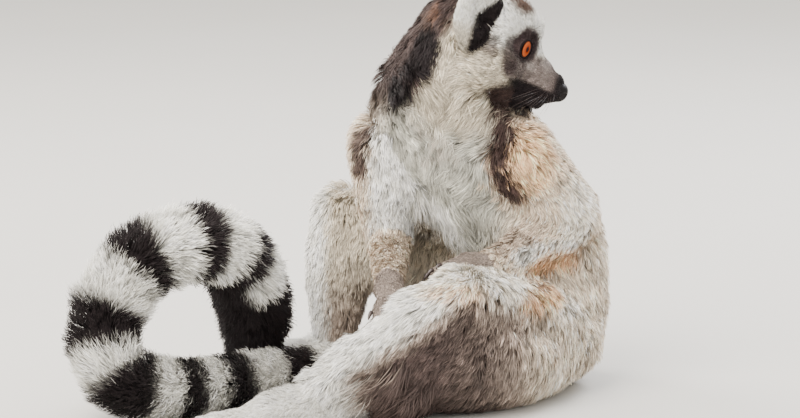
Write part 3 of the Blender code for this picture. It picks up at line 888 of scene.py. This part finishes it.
def grow_coat(name, rows, spacing, length, width, lock, pull, grizzle, wander=0.25, tuft=LONG_TUFT,
              stray=2.0, lift=1.0):
    """One piece of the coat on the chosen triangles of the hide. In millimetres: the space between
    tufts, their length and width, the space between locks, and how far a tuft's marking strays. Pull
    is how far a lock draws its tufts in, grizzle how unlike they are in shade, and wander in lie."""
    spacing, width = spacing * math.sqrt(THIN_OUT), width * THIN_OUT**0.45
    chosen, weights = rooted(rows, spacing)
    lock_chosen, lock_weights = rooted(rows, lock)
    count, locks = len(chosen), len(lock_chosen)

    def leaning(chosen, weights, unsteady):
        """Roots, the way up from them, the way the hair lies, and how far it rises and reaches."""
        root = read(inner, chosen, weights)
        up = unit(read(skin_normals, chosen, weights))
        way = read(lie, chosen, weights)
        rise = read(depth, chosen, weights) * np.broadcast_to(lift, len(triangles))[chosen]
        way = unit(way + draw.normal(0, wander * unsteady, (len(chosen), 3)))
        way = unit(way - (way * up).sum(1)[:, None] * up)
        reach = length * draw.uniform(0.8, 1.15, len(chosen))
        reach *= np.clip(rise / rise.mean(), 0.4, 1.4)
        uneven = draw.uniform(0.75, 1.12, len(chosen))
        rise = rise * uneven * (1 + PROUD_RISE * (draw.random(len(chosen)) < PROUD_SHARE))
        rise *= 1 + 0.15 * tress_at(root)
        flat = np.sqrt(np.maximum(reach**2 - rise**2, (0.45 * reach) ** 2))
        return root, up, way, rise, flat

    root, up, way, rise, flat = leaning(chosen, weights, 1.0)
    lock_root, lock_up, lock_way, lock_rise, lock_flat = leaning(lock_chosen, lock_weights, LOCK_WANDER)
    tips = root + way * flat[:, None] + up * rise[:, None]
    lock_tips = lock_root + lock_way * lock_flat[:, None] + lock_up * lock_rise[:, None]
    lock_tree = tree_of(lock_root)
    own = np.array([lock_tree.find(place)[1] for place in root])
    tips = tips + (lock_tips[own] - tips) * (pull * draw.uniform(0.5, 1.2, count))[:, None]
    side = unit(np.cross(up, way))
    roll = draw.normal(0, ROLL, count)
    side = side * np.cos(roll)[:, None] + up * np.sin(roll)[:, None]
    wide = width * draw.uniform(0.7, 1.25, count)[:, None] * side / 2

    stages, faces, patch = tuft
    columns = [root - up * ROOT_SUNK]
    heights = [0.0]
    for t, share in stages:
        # A tuft rises first and then bends over.
        middle = root + (tips - root) * t + up * (rise * BOW * math.sin(math.pi * t))[:, None]
        columns += [middle - wide * share, middle + wide * share]
        heights += [t, t]
    points = np.stack(columns + [tips], 1)
    points[:, :, 2] = np.maximum(points[:, :, 2], FLOOR_CLEARANCE)
    heights = np.array(heights + [1.0])

    # A tuft shows most of its outer half, so it takes the marking that lies under that.
    seen = read(outer, chosen, weights) + way * (SHOWN * flat)[:, None] + draw.normal(0, stray, (count, 3))
    colours = body_markings(seen, unit(read(normals, chosen, weights)), triangle_part[chosen])
    dark = colours.mean(1) < DARK_HAIR
    strand = np.exp(draw.normal(0, 1, count) * grizzle * np.where(dark, 0.6, 1))
    lock_shade = draw.normal(0, 0.5 * grizzle, locks)
    # A few locks are darkened: painted shade where the coat parts.
    lock_shade -= PARTING_SHADE * grizzle * (draw.random(locks) < PARTING_SHADE_SHARE)
    # Tresses are paler and the partings between them darker: painted shade that follows how high the coat
    # stands there.
    shades = strand * (np.exp(lock_shade)[own] * (1 + 0.12 * tress_at(root)))
    # Each tuft is darker at its root and paler at its tip: on pale hair this is partly its own banding and
    # partly painted shade deep in the coat; on dark hair the paler tip is a painted sheen.
    along = np.where(dark[:, None], 0.85 + 0.4 * heights**2, 0.72 + 0.36 * heights**0.7)
    colours = np.clip(colours * shades[:, None], 0, PALEST_HAIR)
    colours = np.clip(colours[:, None, :] * along[:, :, None], 0, PALEST_HAIR)

    places = np.einsum("ijk,ij->ik", hide_map[triangle_loops[chosen]], weights)
    places = places[:, None, :] + patch[None] * (PATCH / 2)
    add_piece(name, hair_mesh(name, points, colours, faces, places))


def parts(*names):
    """The triangles of the hide on these parts of the body."""
    return np.isin(triangle_part, names)


def nodes(*names):
    """The triangles of the hide on these nodes."""
    return np.isin(triangle_node, names)


middle = inner[triangles].mean(1)
faces_up = unit(skin_normals[triangles].mean(1))[:, 2]
in_head = to_head(middle)
eye_gap = np.minimum(*(np.linalg.norm(in_head - EYE_PLACE * (1, side, 1), axis=1) for side in (1, -1)))
haired = (eye_gap > EYE_RADIUS + LID_THICK * 0.6) & (in_head[:, 0] < 36)
face = parts("head", "eye", "nose") & haired & (in_head[:, 0] > -14)
ruff = parts("head", "eye", "nose") & haired & ~face
half_head = in_head * (1, 0, 1) + np.abs(in_head) * (0, 1, 0)
cup_edge = 1 - 0.6 * spot_edge(half_head, (-30, 29, 12), (9, 9, 20), 0.3)
shin_top = 1 + 0.85 * ramp(middle[:, 0], 25, 0) * ramp(faces_up, 0.1, 0.5)
instep = 1 + 2.6 * ramp(middle[:, 0], -108, -84) * ramp(faces_up, -0.1, 0.4)
lid_edge = 0.4 + 0.6 * ramp(eye_gap, EYE_RADIUS + 1.5, EYE_RADIUS + 5.5)
brow = face & (in_head[:, 0] < 8) & (in_head[:, 2] > 4) & (eye_gap > EYE_RADIUS + 3)
# Each call gives the name, place, spacing, length, width, lock, pull, grizzle and wander, and then the tuft,
# stray and lift where they are given.
grow_coat("coat_face", face, 0.46, 3.8, 0.36, 2.2, 0.3, 0.26, 0.2, SHORT_TUFT, 0.6, lid_edge)
grow_coat("coat_brow", brow, 1.0, 6.5, 0.3, 2.5, 0.3, 0.14, 0.4, stray=0.6, lift=2.0)
grow_coat("coat_crown", ruff, 0.7, 11, 0.58, 4, 0.45, 0.24, 0.28, stray=1.2, lift=cup_edge)
grow_coat("coat_ears", parts("ear"), 0.5, 4.5, 0.36, 2.5, 0.4, 0.17, 0.3, SHORT_TUFT, 0.8)
grow_coat("coat_neck", parts("neck"), 0.76, 21, 0.58, 6, 0.55, 0.25, 0.25)
grow_coat("coat_chest", parts("chest"), 0.8, 21, 0.6, 7, 0.55, 0.18, 0.25)
grow_coat("coat_belly", parts("belly"), 0.94, 17, 0.75, 5, 0.45, 0.3, 0.22)
grow_coat("coat_rump", parts("rump"), 1.0, 16, 0.78, 5, 0.45, 0.36, 0.22)
grow_coat("coat_thigh_left", nodes("thigh_left"), 0.85, 16, 0.68, 5, 0.5, 0.4, 0.24)
grow_coat("coat_thigh_right", nodes("thigh_right"), 1.0, 15, 0.78, 5, 0.45, 0.2, 0.24)
shin_left, shin_right = nodes("shin_left"), nodes("shin_right")
grow_coat("coat_shin_left", shin_left, 0.8, 13, 0.6, 4.5, 0.45, 0.32, 0.22, lift=shin_top)
grow_coat("coat_shin_right", shin_right, 0.92, 12, 0.7, 4, 0.45, 0.18, 0.22)
grow_coat("coat_upper_arms", parts("upper_arm"), 0.83, 14, 0.68, 4.5, 0.45, 0.34, 0.24)
grow_coat("coat_forearms", parts("forearm"), 0.78, 9, 0.6, 4, 0.45, 0.34, 0.22)
feet, hands = parts("foot"), parts("hand")
grow_coat("coat_feet", feet, 0.66, 6.0, 0.45, 2.5, 0.35, 0.14, 0.25, SHORT_TUFT, 0.8, instep)
grow_coat("coat_hands", hands, 0.6, 3.5, 0.42, 2, 0.35, 0.2, 0.22, SHORT_TUFT, 0.6)
for quarter in range(1, 5):
    pair = nodes(f"tail_{2 * quarter - 1}", f"tail_{2 * quarter}")
    grow_coat(f"coat_tail_{quarter}", pair, 0.86, 16.5, 0.62, 5, 0.35, 0.18, 0.35, stray=2.2)

# Long white hair hangs from the breast into the lap.
x, y, z = middle.T
apron = parts("chest", "belly") & (y < 12) & (np.abs(x - 26) < 26) & (np.abs(z - 142) < 22)
grow_coat("coat_breast_fringe", apron, 1.3, 34, 0.6, 7, 0.6, 0.12, 0.25, lift=1.3)

# Longer hair hangs from under the calf and almost reaches the floor.
under_calf = shin_left & (faces_up < -0.35) & (x > -40) & (x < 36)
fringe = 0.4 + 2.6 * ramp(x, -40, -22) * ramp(x, 36, 14)
grow_coat("coat_calf_fringe", under_calf, 1.0, 26, 0.8, 5, 0.5, 0.22, 0.3, lift=fringe)

# ---------------------------------------------------------------- the eyes
# Glass eyes as a taxidermist sets them: a dark ball with an orange iris and a round pupil under
# a clear polished surface. Dark bare lids close round each in an almond.

IRIS_RADIUS, PUPIL_RADIUS = 6.4, 1.8
IRIS_BULGE = 1.0
IRIS_MAP = 8  # the distance from the middle that the iris's colours are laid out over
SPOKES_PER_MM = 1.8
SPOKE_WAVE_MM = 0.9
AMBER, PALE_AMBER, DEEP_AMBER = "#943C14", "#A6542D", "#6E2006"
RIM_BROWN, EYE_DARK, PUPIL_BLACK = "#2A1009", "#0B0808", "#050405"
GAZE_IN = math.radians(10)  # each eye looks a little further forward than its lids open
LID_GRAIN_MM = 0.4
LID_STEPS, ROD_STEPS = 56, 10  # points round the rim of the lids, and round its rod
ROD_OUT, ROD_ACROSS = 0.6, 0.8  # half the rod's thickness, outwards and across the rim
ROD_OVER = 0.35  # how far the middle of the rod lies over the ball
ROD_OPENING = 0.98  # of the lids' own opening
ROD_THINNED = 0.35  # of the rod's thickness, in the corners of the eye


def set_stops(tone, stops):
    """Gives a colour ramp its colours: first those of its two ends, and then those between."""
    marks = tone.color_ramp.elements
    for i, (place, colour) in enumerate(stops):
        mark = marks[i] if i < 2 else marks.new(place)
        mark.position = place
        mark.color = (*linear(colour), 1)


def to_matrix(centre, axes):
    """Places a piece modelled in millimetres along the head's own axes."""
    turned = Matrix(axes @ HEAD).transposed().to_4x4()
    return Matrix.Translation(Vector(in_metres(from_head(centre)))) @ turned


# Glass over a painted iris: an orange ring that deepens towards the pupil, under a faint polish.
eye_glass, shader = new_material("eye_glass")
eye_place = node(eye_glass, "ShaderNodeTexCoord")
eye_axis = node(eye_glass, "ShaderNodeSeparateXYZ", Vector=eye_place.outputs["Object"])
eye_y, eye_z = eye_axis.outputs[1], eye_axis.outputs[2]
square_y = node(eye_glass, "ShaderNodeMath", {"operation": "MULTIPLY"}, i0=eye_y, i1=eye_y)
square_z = node(eye_glass, "ShaderNodeMath", {"operation": "MULTIPLY_ADD"}, i0=eye_z, i1=eye_z,
                i2=square_y.outputs[0])
from_axis = node(eye_glass, "ShaderNodeMath", {"operation": "SQRT"}, i0=square_z.outputs[0])
spokes = node(eye_glass, "ShaderNodeTexNoise", Vector=eye_place.outputs["Object"], Scale=SPOKES_PER_MM / MM,
              Detail=3.0)
wavy = node(eye_glass, "ShaderNodeMath", {"operation": "MULTIPLY_ADD"}, i0=spokes.outputs["Fac"],
            i1=SPOKE_WAVE_MM * MM, i2=from_axis.outputs[0])
iris_in = node(eye_glass, "ShaderNodeMapRange", i0=wavy.outputs[0], i1=0.0, i2=IRIS_MAP * MM, i3=0.0, i4=1.0)
iris = node(eye_glass, "ShaderNodeValToRGB", Fac=iris_in.outputs[0])
IRIS_STOPS = (
    (PUPIL_RADIUS + 0.45, PUPIL_BLACK),
    (IRIS_RADIUS + 0.6, EYE_DARK),
    (PUPIL_RADIUS + 0.7, DEEP_AMBER),
    (PUPIL_RADIUS + 1.7, AMBER),
    (IRIS_RADIUS - 0.6, PALE_AMBER),
    (IRIS_RADIUS + 0.25, RIM_BROWN),
)
set_stops(iris, [(place / IRIS_MAP, colour) for place, colour in IRIS_STOPS])
plug(shader, Base_Color=iris.outputs[0], Roughness=0.25, Specular_IOR_Level=0.01)
plug(shader, Coat_Weight=0.02, Coat_Roughness=0.02, Coat_IOR=1.45)


def two_tone(material, kind, output, colours, **settings):
    """A pattern over a piece from one colour to another, and the value that it follows."""
    place = node(material, "ShaderNodeTexCoord")
    pattern = node(material, kind, Vector=place.outputs["Object"], **settings)
    tone = node(material, "ShaderNodeValToRGB", Fac=pattern.outputs[output])
    set_stops(tone, zip((0, 1), colours))
    return tone.outputs[0], pattern.outputs[output]


# Bare lid skin: near black and dull, so that the orange stands in a dark rim.
lid_skin, shader = new_material("bare_lid_skin")
lid_tone = two_tone(lid_skin, "ShaderNodeTexNoise", "Fac", ("#0A0708", "#191214"),
                    Scale=1 / (LID_GRAIN_MM * MM), Detail=3.0)[0]
plug(shader, Base_Color=lid_tone, Roughness=0.75, Specular_IOR_Level=0.1)


def join_rings(shape, rings):
    """Lays facets between each ring of points and the next."""
    for one, two in zip(rings, rings[1:]):
        for k in range(len(one)):
            m = (k + 1) % len(one)
            shape.faces.new((one[k], one[m], two[m], two[k]))


def add_shape(name, shape, material, place=Matrix()):
    """A smooth piece of one material, from a shape that is not needed any more."""
    mesh = bpy.data.meshes.new(name)
    shape.to_mesh(mesh)
    shape.free()
    mesh.shade_smooth()
    mesh.materials.append(material)
    return add_piece(name, mesh, place)


def add_eye(name, side):
    """One glass eye and the lids round it; side is 1 for the left and -1 for the right."""
    centre, axes = eye_axes(side)
    if np.linalg.det(axes) < 0:
        axes = axes * ((1,), (-1,), (1,))
    ball = bmesh.new()
    bmesh.ops.create_uvsphere(ball, u_segments=48, v_segments=32, radius=EYE_RADIUS * MM)
    bmesh.ops.rotate(ball, verts=ball.verts[:], cent=(0, 0, 0), matrix=Matrix.Rotation(math.pi / 2, 3, "Y"))
    iris_plane = math.sqrt(EYE_RADIUS**2 - IRIS_RADIUS**2)
    for vert in ball.verts:
        off_axis = math.hypot(vert.co.y, vert.co.z) / MM
        if vert.co.x > 0 and off_axis < IRIS_RADIUS:
            # The iris lies nearly flat, as it looks through the clear front of an eye.
            vert.co.x = (iris_plane + IRIS_BULGE * (1 - (off_axis / IRIS_RADIUS) ** 2)) * MM
    turned_in = to_matrix(centre, axes) @ Matrix.Rotation(-side * GAZE_IN, 4, "Z")
    eye = add_shape(name, ball, eye_glass, turned_in)
    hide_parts(name.replace("glass_", ""))

    rim = bmesh.new()
    rings = []
    for i in range(LID_STEPS):
        turn = 2 * math.pi * i / LID_STEPS
        opening = ROD_OPENING / math.hypot(math.cos(turn) / LID_WIDE, math.sin(turn) / LID_HIGH)
        thinned = 1 - ROD_THINNED * abs(math.cos(turn)) ** 6
        along = np.array((0, -math.sin(turn), math.cos(turn)))
        out = np.array((0, math.cos(turn), math.sin(turn))) * math.sin(opening)
        out[0] = math.cos(opening)
        across = unit(np.cross(out, along))
        ring = []
        for k in range(ROD_STEPS):
            a = 2 * math.pi * k / ROD_STEPS
            rod = out * math.cos(a) * ROD_OUT + across * math.sin(a) * ROD_ACROSS
            ring.append(rim.verts.new((out * (EYE_RADIUS + ROD_OVER) + rod * thinned) * MM))
        rings.append(ring)
    join_rings(rim, rings + rings[:1])
    bmesh.ops.recalc_face_normals(rim, faces=rim.faces[:])
    add_shape(name.replace("glass_eye", "lids"), rim, lid_skin, to_matrix(centre, axes))


add_eye("glass_eye_left", 1)
add_eye("glass_eye_right", -1)

# ---------------------------------------------------------------- the nose
# Bare moist black skin with a fine pebbled grain, split by a shallow groove, with a nostril that
# opens to each side.

# Moist nose skin: near black, with a soft shine on its pebbles.
PEBBLE_MM, PEBBLE_RISE_MM = 0.45, 0.1
nose_skin, shader = new_material("moist_nose_skin")
nose_tone, pebbles = two_tone(nose_skin, "ShaderNodeTexVoronoi", "Distance", ("#120D0F", "#070506"),
                              Scale=1 / (PEBBLE_MM * MM))
nose_bump = node(nose_skin, "ShaderNodeBump", {"invert": True}, Strength=0.5,
                 Distance=PEBBLE_RISE_MM * MM, Height=pebbles)
plug(shader, Base_Color=nose_tone, Normal=nose_bump.outputs[0], Roughness=0.5)
plug(shader, Specular_IOR_Level=0.12, Coat_Weight=0.04, Coat_Roughness=0.15)

NOSE_PLACE = np.array((33.0, 0, -25.0))
NOSE_SIZE = np.array((7.6, 7.4, 7.8))
# Dents and swellings of a ball of radius 1: centre (forward, out, up), how far out, reach.
NOSE_FOLDS = (
    ((0.72, 0.62, -0.12), -0.42, (0.3, 0.24, 0.2)),  # the nostril
    ((0.4, 0.92, 0.0), -0.16, (0.3, 0.3, 0.13)),  # the slit behind it
    ((0.75, 0.45, 0.42), 0.05, (0.3464, 0.3464, 0.3464)),  # the swelling over it
)
GROOVE_DEPTH, GROOVE_WIDTH = 0.07, 0.09


def add_nose():
    """The pad of the nose, narrower below, with a groove down the middle of its front."""
    ball = bmesh.new()
    bmesh.ops.create_icosphere(ball, subdivisions=5, radius=1)
    for vert in ball.verts:
        place = np.array(vert.co)
        half = place * (1, np.sign(place[1]) or 1, 1)
        size = 1.0
        for centre, push, reach in NOSE_FOLDS:
            size += push * math.exp(-(((half - centre) / reach) ** 2).sum())
        if place[2] < 0.35 and place[0] > 0:
            size -= GROOVE_DEPTH * math.exp(-(place[1] / GROOVE_WIDTH) ** 2)
        vert.co = Vector(place * size * NOSE_SIZE * (1, 1 - 0.25 * max(0, -place[2]), 1) * MM)
    nose = add_shape("nose_pad", ball, nose_skin, to_matrix(NOSE_PLACE, np.eye(3)))
    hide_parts("nose")


add_nose()

# ---------------------------------------------------------------- nails and whiskers
# Dark horn nails at the tip of each finger and toe, and stiff black whiskers on the lips and
# over the eyes.

# Horn: dark, faintly streaked and half polished, so that nails stand out from the fur.
STREAKS_PER_MM = 0.9
horn, shader = new_material("dark_horn")
horn_tone = two_tone(horn, "ShaderNodeTexNoise", "Fac", ("#1D1618", "#4B3F3C"),
                     Scale=STREAKS_PER_MM / MM, Detail=2.0)[0]
plug(shader, Base_Color=horn_tone, Roughness=0.4)

# Where the digits of each foot and hand start, and their tips: left and right toes, then fingers.
DIGITS = (
    ((-104, -114, 9), ((-143, -136, 5), (-147, -126, 5), (-145, -115, 5), (-138, -104, 5), (-106, -90, 5))),
    ((-92, 70, 9), ((-124, 60, 5), (-131, 69, 5), (-132, 79, 5), (-127, 89, 5), (-86, 90, 5))),
    ((48, -64, 111), ((25, -62, 100), (23, -69, 103), (25, -76, 107), (30, -83, 112), (40, -52, 102))),
    ((-8, -84, 93), ((-20, -104, 82), (-12, -108, 84), (-4, -108, 86), (4, -104, 88), (8, -88, 92))),
)
NAIL_LENGTH = 5.0
NAIL_RADII = (1.5, 1.5, 1.2, 0.8, 0.3)
NAIL_CLEARANCE = 1.4  # of its middle line over the floor
LIP_WHISKERS, BROW_WHISKERS = 11, 5  # on each side


def add_spike(shape, line, radii, corners):
    """A tapering rod through points in millimetres, closed at both ends."""
    rings = []
    for i, (place, radius) in enumerate(zip(line, radii)):
        along = unit(line[min(i + 1, len(line) - 1)] - line[max(i - 1, 0)])
        side = unit(np.cross(along, (0.1, 0.2, 1.0)))
        top = np.cross(side, along)
        turns = [2 * math.pi * k / corners for k in range(corners)]
        ring = [place + (side * math.cos(a) + top * math.sin(a)) * radius for a in turns]
        rings.append([shape.verts.new(in_metres(point)) for point in ring])
    join_rings(shape, rings)
    shape.faces.new(rings[0][::-1])
    shape.faces.new(rings[-1])


def add_whisker(start, way, droop, steps, radii):
    """One whisker from a place on the head, given in the head's own directions."""
    line = [from_head(start + way * s + np.array(droop) * s * s) for s in steps]
    add_spike(whiskers, line, radii, 4)


nails = bmesh.new()
for palm, tips in DIGITS:
    for tip in tips:
        way = unit(np.subtract(tip, palm).astype(float))
        line = [tip + way * (1 + NAIL_LENGTH * t) + (0, 0, 1.2 - 3.0 * t * t) for t in (0, 0.3, 0.6, 0.85, 1)]
        for point in line:
            point[2] = max(point[2], NAIL_CLEARANCE)
        add_spike(nails, line, NAIL_RADII, 8)
bmesh.ops.recalc_face_normals(nails, faces=nails.faces[:])
add_shape("nails", nails, horn)

whiskers = bmesh.new()
for side in (-1, 1):
    for i in range(LIP_WHISKERS):
        t = i / (LIP_WHISKERS - 1)
        start = np.array((30 - 12 * t, side * (7.5 + 2.5 * t), -26 - (i * 7) % 5))
        way = unit(np.array((0.25 - 0.9 * t, side, -0.15 - 0.35 * ((i * 3) % 4) / 4)))
        add_whisker(start, way * (20 + 12 * t), (-5, 0, -4), (0, 0.3, 0.65, 1), (0.16, 0.14, 0.1, 0.04))
    for i in range(BROW_WHISKERS):
        start = np.array((3 - 2 * i, side * (13 + 1.5 * i), 14))
        way = unit(np.array((0.8, side * 0.4, 0.6)) + 0.15 * np.array((i - 2, 0, 2 - i)))
        add_whisker(start, way * 15, (0, 0, -3), (0, 0.35, 0.7, 1), (0.14, 0.12, 0.08, 0.04))
bmesh.ops.recalc_face_normals(whiskers, faces=whiskers.faces[:])
add_shape("whiskers", whiskers, horn)

# ---------------------------------------------------------------- floor, light and camera
# A pale studio floor under a soft key lamp, two rim lamps and an even pale sky. The
# camera looks at the middle of the animal, from a little above.

floor_mesh = bpy.data.meshes.new("studio_floor")
sweep = bmesh.new()
bmesh.ops.create_grid(sweep, x_segments=1, y_segments=1, size=6)
sweep.to_mesh(floor_mesh)
sweep.free()
# Paper: pale and matt, so that nothing on it draws the eye.
CLOUDS_PER_METRE = 3.0
paper, shader = new_material("studio_paper")
paper_tone = two_tone(paper, "ShaderNodeTexNoise", "Fac", ("#BFBDB8", "#C4C2BD"), Scale=CLOUDS_PER_METRE)[0]
plug(shader, Base_Color=paper_tone, Roughness=0.8)
floor_mesh.materials.append(paper)
studio_floor = bpy.data.objects.new("studio_floor", floor_mesh)
bpy.context.scene.collection.objects.link(studio_floor)

TARGET = Vector(in_metres((0, 0, 139.3)))
ELEVATION = math.radians(10)
DISTANCE = 2.2
MM_PER_POINT = 0.75  # of the frame, 800 points wide, at the target
FRAME_WIDTH = 800


def aim(holder, place):
    """Puts a lamp or camera in its place, turned to the middle of the animal."""
    bpy.context.scene.collection.objects.link(holder)
    holder.location = place
    holder.rotation_euler = (TARGET - holder.location).to_track_quat("-Z", "Y").to_euler()


def lamp(name, place, size, watts, colour):
    """A soft square lamp; its size is in metres."""
    light = bpy.data.lights.new(name, "AREA")
    light.size = size
    light.energy = watts
    light.color = linear(colour)
    aim(bpy.data.objects.new(name, light), place)


lamp("key_lamp", (-0.9, -1.4, 2.0), 1.4, 122, "#FFF6EA")
lamp("right_rim_lamp", (1.3, 1.2, 1.6), 1.0, 70, "#F6F8FF")
lamp("left_rim_lamp", (-1.4, 1.0, 1.5), 1.0, 50, "#FFF8F0")
sky = bpy.data.worlds.new("studio_sky")
sky.use_nodes = True
sky.node_tree.nodes["Background"].inputs["Color"].default_value = (*linear("#F0EDE8"), 1)
sky.node_tree.nodes["Background"].inputs["Strength"].default_value = 2.12
bpy.context.scene.world = sky

camera_data = bpy.data.cameras.new("camera")
camera_data.sensor_width = 36
camera_data.lens = camera_data.sensor_width * DISTANCE / (FRAME_WIDTH * MM_PER_POINT * MM)
camera = bpy.data.objects.new("camera", camera_data)
aim(camera, TARGET + DISTANCE * Vector((0, -math.cos(ELEVATION), math.sin(ELEVATION))))
bpy.context.scene.camera = camera
